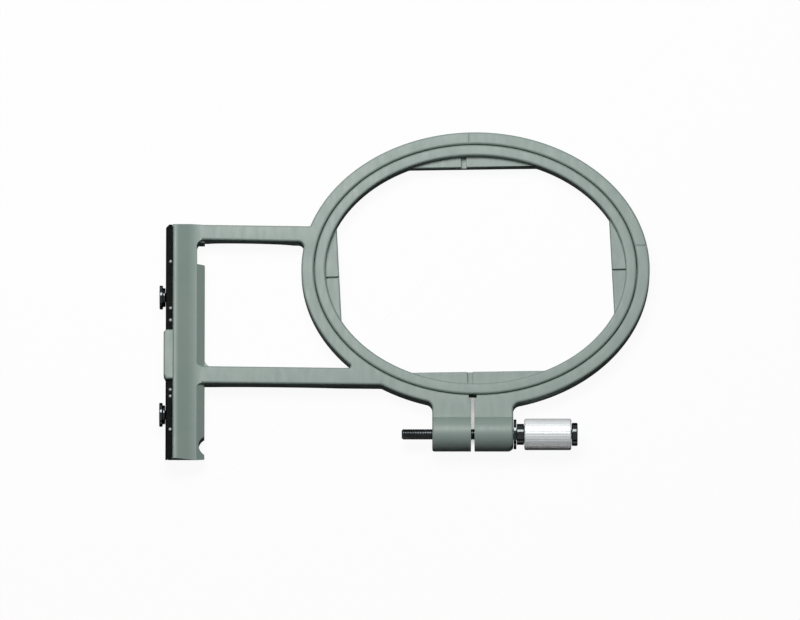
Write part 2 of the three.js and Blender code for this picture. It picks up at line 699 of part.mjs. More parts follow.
// The folded steel plate along the ledge, cut out round the lug and bored for studs and rivets
function connectorPlate() {
  const lipRight = barLeft - FIT_GAP;
  const profile = new THREE.Shape([
    new THREE.Vector2(plateLeft, PLATE_BOTTOM),
    new THREE.Vector2(plateRight, PLATE_BOTTOM),
    new THREE.Vector2(plateRight, lipBottom),
    new THREE.Vector2(lipRight, lipBottom),
    new THREE.Vector2(lipRight, lipTop),
    new THREE.Vector2(plateLeft + PLATE_BEND, lipTop),
    new THREE.Vector2(plateLeft, lipTop - PLATE_BEND),
  ]);
  const top = barTop - PLATE_HEAD_MARGIN;
  const bottom = barBottom + PLATE_TAIL_MARGIN;
  const lugHalf = LUG_LENGTH / 2 + FIT_GAP;
  const across = [plateLeft - CUT_OVER, lipRight + CUT_OVER];
  const lugNotchZ = [LUG_BOTTOM - FIT_GAP, lipTop + CUT_OVER];
  const lugNotch = block(across, [lugY - lugHalf, lugY + lugHalf], lugNotchZ);
  const corner = raised(
    cornerShape({ x: plateLeft, y: top }, { x: 1, y: -1 }, PLATE_CORNER),
    PLATE_BOTTOM - CUT_OVER,
    lipTop + CUT_OVER,
  );
  const studBores = [upperStudY, lowerStudY].map((y) => roundAlongX(
    STUD_SHANK_RADIUS + FIT_GAP,
    plateLeft - CUT_OVER,
    plateRight + CUT_OVER,
    y,
    STUD_HEIGHT,
  ));
  const rivetBores = RIVET_OFFSETS.map((offset) => rivetBore(lugY + offset));
  const strip = solid(runAlongY(profile, bottom, top));
  return cut(strip, lugNotch, corner, endLean(), ...studBores, ...rivetBores);
}

// A headed stud along X, from its head on the left to the end of its shank inside the bar
function stud() {
  const neckEnd = -STUD_NECK_LENGTH;
  const headEnd = neckEnd - STUD_HEAD_LENGTH;
  const shankEnd = studNutX + STUD_NUT_THICKNESS + STUD_TAIL - studX;
  return turned([
    [0, headEnd],
    [STUD_HEAD_RADIUS - STUD_EDGE, headEnd],
    [STUD_HEAD_RADIUS, headEnd + STUD_EDGE],
    [STUD_HEAD_RADIUS, neckEnd - STUD_EDGE],
    [STUD_HEAD_RADIUS - STUD_EDGE, neckEnd],
    [STUD_NECK_RADIUS, neckEnd],
    [STUD_NECK_RADIUS, 0],
    [STUD_SHANK_RADIUS, 0],
    [STUD_SHANK_RADIUS, shankEnd],
    [0, shankEnd],
  ]);
}

// A small domed rivet standing on its head's seat, shank down
function rivet() {
  const dome = sweep(0, Math.PI / 2, DOME_STEPS, (angle) => new THREE.Vector2(
    RIVET_HEAD_RADIUS * Math.cos(angle),
    RIVET_HEAD_HEIGHT * Math.sin(angle),
  ));
  const points = [
    new THREE.Vector2(0, lipBottom - lipTop - RIVET_SHANK_LENGTH),
    new THREE.Vector2(RIVET_SHANK_RADIUS, lipBottom - lipTop - RIVET_SHANK_LENGTH),
    new THREE.Vector2(RIVET_SHANK_RADIUS, 0),
    ...dome,
  ];
  return new THREE.LatheGeometry(points, RIVET_STEPS).rotateX(Math.PI / 2);
}

function finish(color, roughness, metalness) {
  return () => new THREE.MeshStandardMaterial({ color, roughness, metalness });
}

const greyPlastic = finish(0xa0aaa4, 0.55, 0);
const polishedSteel = finish(0x8b9190, 0.2, 1);
const blackSteel = finish(0x141816, 0.4, 0.6);
const brightMetal = finish(0xdde3e2, 0.3, 1);
const zincSteel = finish(0xb4b8b8, 0.35, 1);

const hoop = new THREE.Group();

function place(name, body, material, x = 0, y = 0, z = 0) {
  const mesh = new THREE.Mesh(geometryOf(body), material());
  mesh.name = name;
  mesh.position.set(x, y, z);
  hoop.add(mesh);
}

place('outer_frame', outerFrame(), greyPlastic);
place('inner_ring', innerRing(), greyPlastic);

const clampNut = nut(4, CLAMP_NUT_WIDTH, CLAMP_NUT_THICKNESS, SCREW_RADIUS + FIT_GAP);
place('clamp_nut', solid(clampNut), zincSteel, clampNutX - CLAMP_NUT_THICKNESS / 2, screwY, screwZ);
place('thrust_washer', solid(thrustWasher()), polishedSteel, washerX, screwY, screwZ);
place('clamp_screw', solid(clampScrew()), polishedSteel, 0, screwY, screwZ);
place('knob_sleeve', knobSleeve(), brightMetal, knobX, screwY, screwZ);
place('knob_end_cap', solid(knobEndCap()), polishedSteel, capX, screwY, screwZ);

place('connector_plate', connectorPlate(), blackSteel);
for (const [side, y] of [['upper', upperStudY], ['lower', lowerStudY]]) {
  const studNut = nut(6, STUD_NUT_WIDTH, STUD_NUT_THICKNESS, STUD_SHANK_RADIUS + FIT_GAP);
  place(`${side}_stud`, solid(stud()), polishedSteel, studX, y, STUD_HEIGHT);
  place(`${side}_stud_nut`, solid(studNut), zincSteel, studNutX, y, STUD_HEIGHT);
}
RIVET_OFFSETS.forEach((offset, i) => {
  place(`plate_rivet_${i + 1}`, solid(rivet()), brightMetal, rivetX, lugY + offset, lipTop + FIT_GAP);
});

// The origin is the middle of the whole hoop's outline, on the table
const middle = new THREE.Box3().setFromObject(hoop, true).getCenter(new THREE.Vector3());
hoop.position.set(-middle.x, -middle.y, 0);
hoop.updateMatrixWorld(true);

export default hoop;
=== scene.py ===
import math

import bmesh
import bpy
from mathutils import Matrix, Vector


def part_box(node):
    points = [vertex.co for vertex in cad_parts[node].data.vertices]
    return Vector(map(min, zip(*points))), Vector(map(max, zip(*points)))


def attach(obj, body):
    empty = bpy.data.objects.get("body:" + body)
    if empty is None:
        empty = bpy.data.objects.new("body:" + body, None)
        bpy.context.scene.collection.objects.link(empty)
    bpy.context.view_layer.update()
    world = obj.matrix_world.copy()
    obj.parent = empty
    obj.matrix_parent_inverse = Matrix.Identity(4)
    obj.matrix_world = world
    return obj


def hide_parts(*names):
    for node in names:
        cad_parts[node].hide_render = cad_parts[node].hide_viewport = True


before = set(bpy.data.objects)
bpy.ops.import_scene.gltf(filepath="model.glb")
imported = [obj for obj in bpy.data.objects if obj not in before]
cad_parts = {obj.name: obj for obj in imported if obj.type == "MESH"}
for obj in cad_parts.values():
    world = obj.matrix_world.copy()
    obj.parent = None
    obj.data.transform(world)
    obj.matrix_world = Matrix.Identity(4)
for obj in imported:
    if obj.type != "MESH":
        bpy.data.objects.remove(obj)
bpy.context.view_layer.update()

# The hoop is drawn in millimetres about the middle of its ring, on the table,
# and then set into the frame.
MM = 0.001
TURN = 2 * math.pi
QUARTER = math.pi / 2

# Sections of the rings
FIELD = (130.0, 100.0)
END_TAB_REACH = 6.55
SIDE_TAB_REACH = 5.85
INNER_WALL = 5.27
OUTER_WALL = 5.92
RING_EDGE = 1.0
RING_FOOT = 2.4
TAB_TOP = 6.8
TAB_THICKNESS = 4.8
TAB_EDGE = 0.65
END_TAB_LEAN = math.radians(2.9)
SIDE_TAB_LEAN = math.radians(0.9)
SIDE_TAB_SHIFT = 0.55
MARK_LEAN = math.radians(1.6)
END_MARK_WIDTH = 1.1
END_MARK_SHIFT = -1.6
END_MARK_DEPTH = 1.2
SIDE_MARK_WIDTH = 2.6
SIDE_MARK_SHIFT = -4.1
SIDE_MARK_DEPTH = 1.6
HAIRLINE_WIDTH = 0.45
HAIRLINE_DEPTH = 0.25
END_HAIRLINE_Y = 11.6
SIDE_HAIRLINE_X = -3.0

# Arms
UPPER_ARM_WIDTH = 7.6
LOWER_ARM_WIDTH = 8.4
LOWER_ARM_RISE = 15.35
ARM_SPACING = 69.8
ARM_DROP = 0.9
ARM_RING_FILLET = 2.5
ARM_RING_CREASE = 0.9
UPPER_BAR_FILLET = 3.3
LOWER_BAR_FILLET = 2.6
LOWER_WINDOW_FILLET = 2.0
UPPER_ARM_ARCH = 3.2
LOWER_ARM_ARCH = 2.0
ARCH_LIFT = 4 / 3
ARCH_START = 4.4
ARCH_MARGIN = 2.5

# Clamp ears
CLAMP_GAP = 1.7
EAR_LENGTH = 18.4
EAR_FILLET = 3.5
EAR_EDGE = 1.0
EAR_CHAMFER = 2.4
BARREL_RADIUS = 8.2
RELIEF_WIDTH = 3.8
RELIEF_DEPTH = 1.85

# Clamp screw and knob
SCREW_RADIUS = 2.5
THREAD_PITCH = 0.8
THREAD_DEPTH = 0.2
THREAD_FLANK = 4.0
THREAD_ROOT = 0.2
THREAD_ROWS = 8
SCREW_TIP_CHAMFER = 0.7
SCREW_EDGE = 0.3
NECK_RADIUS = 5.0
NECK_LENGTH = 3.4
CORE_RADIUS = 4.0
KNOB_RADIUS = 7.5
KNOB_EDGE = 0.7
KNOB_EDGE_ROWS = (0.3, 0.6, 1.0)
KNOB_BODY_ROWS = (0.25, 0.5, 0.75)
FLUTE_COUNT = 36
FLUTE_DEPTH = 0.06
FLUTE_HALF_WIDTH = 0.3
CAP_PIN_RADIUS = 2.0
CAP_EDGE = 0.6
WASHER_EDGE = 0.15
NUT_EDGE = 0.3
SQUARE_NUT_SIDES = 4
HEX_NUT_SIDES = 6

# Connector bar
BAR_WIDTH = 11.3
BAR_WALL = 2.4
BAR_CORNER = 1.2
BAR_END_EDGE = 0.8
RIDGE_HEIGHT = 14.5
RIDGE_EDGE = 0.9
RIDGE_ROUND = 4.0
SLOPE_TILT = math.radians(29)
SLOPE_BLEND = 14.0
HEAD_LEAN = 1.1
HEAD_LEAN_REACH = 7.2
END_LEAN = 3.0
POCKET_TOP = 10.0
POCKET_HEAD_WALL = 3.0
POCKET_TAIL_WALL = 6.0
RIB_THICKNESS = 1.6
RIB_OFFSET = 9.0
LEDGE_HEIGHT = 10.4
LUG_LENGTH = 23.1
LUG_TAIL = 1.2
LUG_BOTTOM = 4.3
LUG_TOP = 13.5
LUG_CHAMFER = 1.2
LUG_EDGE = 0.9
FLANGE_WIDTH = 3.7
FLANGE_ROOT_HEIGHT = 10.2
FLANGE_EDGE_HEIGHT = 7.1
FLANGE_NOTCH_DROP = 1.0
FLANGE_NOTCH_LENGTH = 11.0
FLANGE_FILLET = 4.0
FLANGE_BITE_RADIUS = 4.8
FLANGE_BITE_DEPTH = 2.7
FLANGE_BITE_RISE = 7.6

# Connector plate
PLATE_THICKNESS = 1.0
PLATE_HEAD_MARGIN = 0.6
PLATE_BEND = 0.9
PLATE_CORNER = 1.6
PLATE_EDGE = 0.15
STUD_SIDES = ("upper", "lower")
STUD_HEAD_LENGTH = 1.6
STUD_NECK_LENGTH = 1.2
STUD_NECK_RADIUS = 4.5
STUD_SHANK_RADIUS = 2.0
STUD_EDGE = 0.4
RIVET_COUNT = 6
RIVET_HEAD_HEIGHT = 0.6
RIVET_SHANK_RADIUS = 0.5
RIVET_BORE = 0.7
RIVET_DEPTH = 4.2

FIT_GAP = 0.2
CUT_OVER = 1.0

# Steps of the curves
OVAL_STEPS = 288
FILLET_STEPS = 12
BARREL_STEPS = 48
BLEND_STEPS = 24
ARCH_STEPS = 30
ROUND_STEPS = 64
SCREW_STEPS = 48
FLUTE_STEPS = 10
RIVET_STEPS = 32
DOME_STEPS = 8
EDGE_STEPS = 4
METAL_EDGE_STEPS = 3
STUD_EDGE_STEPS = 4
CAP_EDGE_STEPS = 5

# Limits of the curve tools
SEARCH_HALVINGS = 50
MITRE_LIMIT = 0.3
CORNER_SHARE = 0.45
SMOOTH_ANGLE = math.radians(32)

# Looks: colours are linear, a noise has a scale per metre, a detail and sometimes a stretch,
# and the depth of a relief has a strength and a height
PLASTIC_COLOURS = ((0.22, 0.284, 0.255), (0.248, 0.305, 0.276))
PLASTIC_ROUGHNESS = (0.4, 0.52)
PLASTIC_CLOUDS = (55, 4)
PLASTIC_SCUFFS = (420, 3, (1, 0.25, 1))
PLASTIC_GRAIN = (2600, 2)
PLASTIC_GRAIN_DEPTH = (0.10, 0.05 * MM)
PLASTIC_WAVES = (60, 1)
PLASTIC_WAVE_DEPTH = (0.15, 0.15 * MM)
PLASTIC_BEVEL = 0.35 * MM
# Polished steel with a near-black colour: a painted dark reflection standing in for dark
# surroundings; the lamp's highlights on it are real
STEEL_PAINTED_DARK_REFLECTION_COLOURS = ((0.045, 0.049, 0.049), (0.075, 0.082, 0.082))
POLISHED_STEEL_ROUGHNESS = (0.09, 0.16)
RIVET_COLOURS = ((0.24, 0.25, 0.25), (0.32, 0.33, 0.33))
RIVET_ROUGHNESS = (0.5, 0.6)
ZINC_COLOURS = ((0.42, 0.44, 0.45), (0.6, 0.62, 0.62))
ZINC_ROUGHNESS = (0.3, 0.42)
TURNING = (1500, 2, (1, 0.02, 0.02))
TURNING_DEPTH = (0.12, 0.02 * MM)
METAL_PATCHES = (160, 3)
METAL_BEVEL = 0.12 * MM
KNURL_COLOURS = ((0.86, 0.89, 0.89), (0.97, 0.98, 0.98))
KNURL_ROUGHNESS = (0.34, 0.24)
KNURL_METALLIC = 0.3
KNURL_STREAKS = (900, 3, (0.15, 1, 1))
KNURL_GRAIN = (2200, 2)
KNURL_GRAIN_DEPTH = (0.03, 0.02 * MM)
# Near-black sheet colours: partly the plate's own blackened finish, partly painted shade
BLACKENED_SHEET_AND_SHADE_COLOURS = ((0.002, 0.003, 0.003), (0.006, 0.008, 0.007))
SHEET_ROUGHNESS = (0.5, 0.65)
SHEET_SPECULAR = 0.04
SHEET_STAINS = (140, 4)
SHEET_SCUFFS = (700, 3)
SHEET_GRAIN = (1800, 2)
SHEET_GRAIN_DEPTH = (0.1, 0.03 * MM)
SHEET_BEVEL = 0.2 * MM
BEVEL_SAMPLES = 4
NOISE_BAND = (0.3, 0.7)

# Sockets of the Mix node that carry colours
MIX_COLOUR_INPUTS = (6, 7)
MIX_COLOUR_OUTPUT = 2

# Floor and world, in metres
FLOOR_REACH = 12.0
FLOOR_DROP = 0.0004
FLOOR_COLOUR = (0.05, 0.05, 0.05, 1)
FLOOR_WHITE = 0.94
# Painted shadow on the floor: its white dims by ambient occlusion, to the camera in narrow gaps
# and, over a far wider reach, in reflections
SHADOW_PAINT_REACH = 8 * MM
SHADOW_PAINT_BAND = (0.0, 0.22)
REFLECTED_SHADE_REACH = 200 * MM
REFLECTED_SHADE_BAND = (0.96, 1.0)
OCCLUSION_SAMPLES = 16
SKY_COLOUR = (0.9, 0.95, 1.0, 1)
SKY_UP = (0, 0.25, 1)
SKY_BAND = (0.1, 0.2)
SKY_GLOW = 0.45
SKY_AMBIENT = 0.06

# Lamp and camera, in metres and watts; the camera's aim and field in millimetres
LAMP_PLACE = Vector((-0.13, 0.36, 0.9))
LAMP_SIZE = (0.66, 0.42)
LAMP_POWER = 9.5
CAMERA_LENS = 800.0
CAMERA_SENSOR = 36.0
CAMERA_REACH = 50
CAMERA_ELEVATION = math.radians(76.5)
CAMERA_AIM = Vector((-36.0, -20.1, 10.0))
PICTURE_WIDTH = 381.0

# Places taken from the frame
home = sum(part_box("inner_ring"), Vector()) / 2 / MM
home.z = 0


def local_box(node):
    low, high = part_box(node)
    return low / MM - home, high / MM - home


def arm_edges(y, width):
    """Lower and upper edge of an arm at the bar and then at the ring, where it lies lower."""
    half = width / 2
    drop = ARM_DROP / 2
    return (y + drop - half, y + drop + half), (y - drop - half, y - drop + half)


frame_low, frame_high = local_box("outer_frame")
plate_low, plate_high = local_box("connector_plate")
washer_low, washer_high = local_box("thrust_washer")
screw_low, screw_high = local_box("clamp_screw")
sleeve_low, sleeve_high = local_box("knob_sleeve")
cap_low, cap_high = local_box("knob_end_cap")
clamp_nut_low, clamp_nut_high = local_box("clamp_nut")
stud_boxes = {side: local_box(f"{side}_stud") for side in STUD_SIDES}
stud_nut_boxes = {side: local_box(f"{side}_stud_nut") for side in STUD_SIDES}
rivet_names = [f"plate_rivet_{i + 1}" for i in range(RIVET_COUNT)]
rivet_boxes = {name: local_box(name) for name in rivet_names}

ring_height = local_box("inner_ring")[1].z
outer_rim = Vector((frame_high.x, frame_high.y))
outer_bore = outer_rim - Vector((OUTER_WALL, OUTER_WALL))
inner_hole = Vector((FIELD[0] / 2 + END_TAB_REACH, FIELD[1] / 2 + SIDE_TAB_REACH))
inner_rim = inner_hole + Vector((INNER_WALL, INNER_WALL))
lower_arm_y = LOWER_ARM_RISE - outer_rim.y
upper_arm_y = lower_arm_y + ARM_SPACING
upper_at_bar, upper_at_ring = arm_edges(upper_arm_y, UPPER_ARM_WIDTH)
lower_at_bar, lower_at_ring = arm_edges(lower_arm_y, LOWER_ARM_WIDTH)
bar_left = plate_high.x + FIT_GAP
bar_right = bar_left + BAR_WIDTH
bar_top = plate_high.y + PLATE_HEAD_MARGIN
bar_bottom = frame_low.y
ledge_left = plate_low.x + PLATE_THICKNESS + FIT_GAP
pocket_left = ledge_left + BAR_WALL
lug_left = frame_low.x
stud_y = {side: (low.y + high.y) / 2 for side, (low, high) in stud_boxes.items()}
stud_z = (stud_boxes["upper"][0].z + stud_boxes["upper"][1].z) / 2
lug_y = (stud_y["upper"] + stud_y["lower"]) / 2
screw_y = (screw_low.y + screw_high.y) / 2
screw_z = (screw_low.z + screw_high.z) / 2
ear_right = washer_low.x - FIT_GAP
slit_right = ear_right - EAR_LENGTH
slit_left = slit_right - CLAMP_GAP
ear_left = slit_left - EAR_LENGTH
slit_x = (slit_left + slit_right) / 2


# Plane curves, as lists of points


def sweep(start, end, steps, point_at):
    return [point_at(start + (end - start) * i / steps) for i in range(steps + 1)]


def polar(radius, angle):
    return Vector((radius * math.cos(angle), radius * math.sin(angle)))


def arc(x, y, radius, start, end, steps=FILLET_STEPS):
    return sweep(start, end, steps, lambda t: polar(radius, t) + Vector((x, y)))


def oval_point(oval, angle):
    return Vector((oval.x * math.cos(angle), oval.y * math.sin(angle)))


def oval_normal(oval, angle):
    return Vector((math.cos(angle) / oval.x, math.sin(angle) / oval.y)).normalized()


def oval_arc(oval, start, end):
    steps = math.ceil(abs(end - start) / TURN * OVAL_STEPS)
    return sweep(start, end, steps, lambda t: oval_point(oval, t))


def circle(radius, steps=ROUND_STEPS):
    return [polar(radius, TURN * i / steps) for i in range(steps)]


def polygon(*corners):
    return [Vector(corner) for corner in corners]


def rectangle(x, y):
    return polygon((x[0], y[0]), (x[1], y[0]), (x[1], y[1]), (x[0], y[1]))


def rim_fillet(axis, level, radius):
    """The circle that touches the outer rim from outside, centred at a given x or y.

    The level is an x for axis 0 and a y for axis 1. Gives the rim's angle at the touch,
    the circle's centre and the circle's angle at the touch.
    """
    sign = 1 if axis == 0 else -1
    low = math.pi if axis == 0 else QUARTER
    high = low + math.pi

    def centre_at(angle):
        return oval_point(outer_rim, angle) + oval_normal(outer_rim, angle) * radius

    for _ in range(SEARCH_HALVINGS):
        middle = (low + high) / 2
        if sign * (centre_at(middle)[axis] - level) < 0:
            low = middle
        else:
            high = middle
    inward = -oval_normal(outer_rim, low)
    return low, centre_at(low), math.atan2(inward.y, inward.x)


def moulding_outline():
    crease, fillet = ARM_RING_CREASE, ARM_RING_FILLET
    right_rim, right_c, right_touch = rim_fillet(0, ear_right + EAR_FILLET, EAR_FILLET)
    left_rim, left_c, left_touch = rim_fillet(0, ear_left - EAR_FILLET, EAR_FILLET)
    top_rim, top_c, top_touch = rim_fillet(1, upper_at_ring[1] + crease, crease)
    foot_rim, foot_c, foot_touch = rim_fillet(1, lower_at_ring[0] - fillet, fillet)
    bar_x, bar_y = bar_right + LOWER_BAR_FILLET, lower_at_bar[0] - LOWER_BAR_FILLET
    return (
        arc(*right_c, EAR_FILLET, math.pi, right_touch)
        + oval_arc(outer_rim, right_rim, top_rim + TURN)[1:-1]
        + arc(*top_c, crease, top_touch, -QUARTER)
        + arc(bar_left + BAR_CORNER, bar_top - BAR_CORNER, BAR_CORNER, QUARTER, math.pi)
        + polygon((bar_left, bar_bottom), (bar_right, bar_bottom))
        + arc(bar_x, bar_y, LOWER_BAR_FILLET, math.pi, QUARTER)
        + arc(*foot_c, fillet, QUARTER, foot_touch)
        + oval_arc(outer_rim, foot_rim, left_rim)[1:-1]
        + arc(*left_c, EAR_FILLET, left_touch, 0)
        + polygon((ear_left, screw_y), (ear_right, screw_y))
    )


def window_outline():
    crease, fillet = ARM_RING_CREASE, ARM_RING_FILLET
    low_rim, low_c, low_touch = rim_fillet(1, lower_at_ring[1] + crease, crease)
    high_rim, high_c, high_touch = rim_fillet(1, upper_at_ring[0] - fillet, fillet)
    low_x, low_y = bar_right + LOWER_WINDOW_FILLET, lower_at_bar[1] + LOWER_WINDOW_FILLET
    high_x, high_y = bar_right + UPPER_BAR_FILLET, upper_at_bar[0] - UPPER_BAR_FILLET
    return (
        arc(low_x, low_y, LOWER_WINDOW_FILLET, math.pi, 3 * QUARTER)
        + arc(*low_c, crease, -QUARTER, low_touch)
        + oval_arc(outer_rim, low_rim, high_rim)[1:-1]
        + arc(*high_c, fillet, high_touch, QUARTER)
        + arc(high_x, high_y, UPPER_BAR_FILLET, QUARTER, math.pi)
    )


# Solids, as bmeshes


def inset(contour, distance):
    """Move every corner of a closed contour to its left."""
    shifted = []
    for i, here in enumerate(contour):
        back = (here - contour[i - 1]).normalized()
        ahead = (contour[(i + 1) % len(contour)] - here).normalized()
        left = Vector((-back.y, back.x))
        between = (left + Vector((-ahead.y, ahead.x))).normalized()
        shifted.append(here + between * distance / max(between.dot(left), MITRE_LIMIT))
    return shifted


def slab(contours, bottom, top, edge=0.0, foot=None):
    """A solid over an outline (counterclockwise) and its holes (clockwise), with rounded rims."""
    foot = edge if foot is None else foot
    levels = [(bottom, 0.0), (top, 0.0)]
    if edge:
        bends = [QUARTER * i / EDGE_STEPS for i in range(EDGE_STEPS + 1)]
        rounds = [(1 - math.cos(t), 1 - math.sin(t)) for t in bends]
        levels = [(bottom + foot * up, foot * inward) for up, inward in rounds]
        levels += [(top - edge * down, edge * inward) for down, inward in reversed(rounds)]
    bm = bmesh.new()
    ends = ([], [])
    for contour in contours:
        rings = []
        for z, inward in levels:
            points = inset(contour, inward) if inward else contour
            rings.append([bm.verts.new((p.x, p.y, z)) for p in points])
        for lower, upper in zip(rings, rings[1:]):
            for i in range(len(lower)):
                bm.faces.new((lower[i - 1], lower[i], upper[i], upper[i - 1]))
        ends[0].append(rings[0])
        ends[1].append(rings[-1])
    for loops in ends:
        edges = [bm.edges.get((loop[i - 1], loop[i])) for loop in loops for i in range(len(loop))]
        bmesh.ops.triangle_fill(bm, edges=edges, use_beauty=True)
    bmesh.ops.recalc_face_normals(bm, faces=bm.faces)
    return bm


def along_x(contours, start, end, edge=0.0):
    """A side profile drawn in Y and Z, run along X."""
    bm = slab(contours, start, end, edge)
    bm.transform(Matrix(((0, 0, 1, 0), (1, 0, 0, 0), (0, 1, 0, 0), (0, 0, 0, 1))))
    return bm


def along_y(contours, start, end, edge=0.0):
    """A front profile drawn in X and Z, run along Y."""
    bm = slab(contours, -end, -start, edge)
    bm.transform(Matrix(((1, 0, 0, 0), (0, 0, -1, 0), (0, 1, 0, 0), (0, 0, 0, 1))))
    return bm


def block(x, y, z, edge=0.0):
    return slab([rectangle(x, y)], z[0], z[1], edge)


def about(middle, width):
    return middle - width / 2, middle + width / 2


def bore_x(radius, start, end, y, z):
    return along_x([[p + Vector((y, z)) for p in circle(radius)]], start, end)


def bore_z(radius, x, y, bottom, top):
    return slab([[p + Vector((x, y)) for p in circle(radius)]], bottom, top)


def spun(rows, steps=ROUND_STEPS, closed=False):
    """A piece about X from rows of (place along X, radius), the radius perhaps by angle."""
    bm = bmesh.new()
    rings = []
    for along, radius in rows:
        if radius == 0:
            rings.append([bm.verts.new((along, 0, 0))])
            continue
        ring = []
        for i in range(steps):
            angle = TURN * i / steps
            point = polar(radius(angle) if callable(radius) else radius, angle)
            ring.append(bm.verts.new((along, point.x, point.y)))
        rings.append(ring)
    pairs = list(zip(rings, rings[1:])) + ([(rings[-1], rings[0])] if closed else [])
    for first, second in pairs:
        for i in range(steps):
            if len(first) == 1:
                bm.faces.new((first[0], second[i], second[i - 1]))
            elif len(second) == 1:
                bm.faces.new((first[i - 1], first[i], second[0]))
            else:
                bm.faces.new((first[i - 1], first[i], second[i], second[i - 1]))
    bmesh.ops.recalc_face_normals(bm, faces=bm.faces)
    return bm


def softened(profile, radius, steps=METAL_EDGE_STEPS):
    """Round the corners of an open profile of (place, radius) pairs."""
    points = [Vector(p) for p in profile]
    out = [points[0]]
    for before, here, after in zip(points, points[1:], points[2:]):
        back, ahead = before - here, after - here
        reach = min(radius, back.length * CORNER_SHARE, ahead.length * CORNER_SHARE)
        start = here + back.normalized() * reach
        end = here + ahead.normalized() * reach
        for i in range(steps + 1):
            t = i / steps
            out.append(start * (1 - t) ** 2 + here * 2 * t * (1 - t) + end * t * t)
    return [tuple(p) for p in out + [points[-1]]]


def moved(bm, x=0.0, y=0.0, z=0.0):
    bm.transform(Matrix.Translation((x, y, z)))
    return bm


def made(name, *parts):
    """One object from one or several solids."""
    mesh = bpy.data.meshes.new(name)
    whole = bmesh.new()
    for part in parts:
        part.to_mesh(mesh)
        part.free()
        whole.from_mesh(mesh)
    whole.to_mesh(mesh)
    whole.free()
    obj = bpy.data.objects.new(name, mesh)
    bpy.context.scene.collection.objects.link(obj)
    return obj


def combined(target, *steps):
    """Apply (operation, tool) pairs to an object, one after the other."""
    for operation, tool in steps:
        change = target.modifiers.new(operation, "BOOLEAN")
        change.operation = operation
        change.solver = "MANIFOLD"
        change.object = tool
    bpy.context.view_layer.update()
    shaped = target.evaluated_get(bpy.context.evaluated_depsgraph_get())
    mesh = bpy.data.meshes.new_from_object(shaped)
    target.modifiers.clear()
    target.data = mesh
    for _, tool in steps:
        bpy.data.objects.remove(tool, do_unlink=True)
    return target


def shade(obj):
    obj.data.shade_smooth()
    obj.data.set_sharp_from_angle(angle=SMOOTH_ANGLE)
    normals = obj.modifiers.new("normals", "WEIGHTED_NORMAL")
    normals.keep_sharp = True


def seat(obj, material, slot, body, *nodes):
    """Set a finished piece into the frame in place of its CAD nodes."""
    obj.data.transform(Matrix.Scale(MM, 4) @ Matrix.Translation(home))
    obj.data.materials.clear()
    obj.data.materials.append(material)
    shade(obj)
    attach(obj, body)
    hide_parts(*nodes)


# Materials


def node_material(name):
    material = bpy.data.materials.new(name)
    material.use_nodes = True
    tree = material.node_tree
    return material, tree, tree.nodes["Principled BSDF"]


def added(tree, kind, **settings):
    node = tree.nodes.new(kind)
    for key, value in settings.items():
        if hasattr(node, key):
            setattr(node, key, value)
        else:
            node.inputs[key.replace("_", " ")].default_value = value
    return node


def noise(tree, scale, detail, stretch=(1, 1, 1)):
    place = tree.nodes.new("ShaderNodeTexCoord")
    mapping = added(tree, "ShaderNodeMapping", Scale=stretch)
    node = added(tree, "ShaderNodeTexNoise", Scale=scale, Detail=detail)
    tree.links.new(place.outputs["Object"], mapping.inputs["Vector"])
    tree.links.new(mapping.outputs["Vector"], node.inputs["Vector"])
    return node.outputs["Fac"]


def ramp(tree, value, low, high, band=NOISE_BAND):
    node = added(
        tree,
        "ShaderNodeMapRange",
        From_Min=band[0],
        From_Max=band[1],
        To_Min=low,
        To_Max=high,
    )
    tree.links.new(value, node.inputs["Value"])
    return node.outputs["Result"]


def blend_colours(tree, factor, colours):
    node = added(tree, "ShaderNodeMix", data_type="RGBA")
    for socket, colour in zip(MIX_COLOUR_INPUTS, colours):
        node.inputs[socket].default_value = (*colour, 1)
    tree.links.new(ramp(tree, factor, 0, 1), node.inputs["Factor"])
    return node.outputs[MIX_COLOUR_OUTPUT]


def bump(tree, height, depth, normal=None):
    strength, distance = depth
    node = added(tree, "ShaderNodeBump", Strength=strength, Distance=distance)
    tree.links.new(height, node.inputs["Height"])
    if normal:
        tree.links.new(normal, node.inputs["Normal"])
    return node.outputs["Normal"]


def bevelled(tree, radius):
    edges = added(tree, "ShaderNodeBevel", samples=BEVEL_SAMPLES, Radius=radius)
    return edges.outputs["Normal"]


def dress(tree, shader, colour, roughness, normal):
    tree.links.new(colour, shader.inputs["Base Color"])
    tree.links.new(roughness, shader.inputs["Roughness"])
    tree.links.new(normal, shader.inputs["Normal"])


def grey_plastic():
    material, tree, shader = node_material("grey_moulding")
    clouds = noise(tree, *PLASTIC_CLOUDS)
    scuffs = noise(tree, *PLASTIC_SCUFFS)
    grain = noise(tree, *PLASTIC_GRAIN)
    waves = noise(tree, *PLASTIC_WAVES)
    grainy = bump(tree, grain, PLASTIC_GRAIN_DEPTH, bevelled(tree, PLASTIC_BEVEL))
    dress(
        tree,
        shader,
        blend_colours(tree, clouds, PLASTIC_COLOURS),
        ramp(tree, scuffs, *PLASTIC_ROUGHNESS),
        bump(tree, waves, PLASTIC_WAVE_DEPTH, grainy),
    )
    return material


def turned_metal(name, colours, roughness):
    material, tree, shader = node_material(name)
    shader.inputs["Metallic"].default_value = 1
    rings = noise(tree, *TURNING)
    patches = noise(tree, *METAL_PATCHES)
    dress(
        tree,
        shader,
        blend_colours(tree, patches, colours),
        ramp(tree, patches, *roughness),
        bump(tree, rings, TURNING_DEPTH, bevelled(tree, METAL_BEVEL)),
    )
    return material


def knurled_metal():
    material, tree, shader = node_material("bright_knurl")
    shader.inputs["Metallic"].default_value = KNURL_METALLIC
    streaks = noise(tree, *KNURL_STREAKS)
    grain = noise(tree, *KNURL_GRAIN)
    dress(
        tree,
        shader,
        blend_colours(tree, streaks, KNURL_COLOURS),
        ramp(tree, streaks, *KNURL_ROUGHNESS),
        bump(tree, grain, KNURL_GRAIN_DEPTH),
    )
    return material
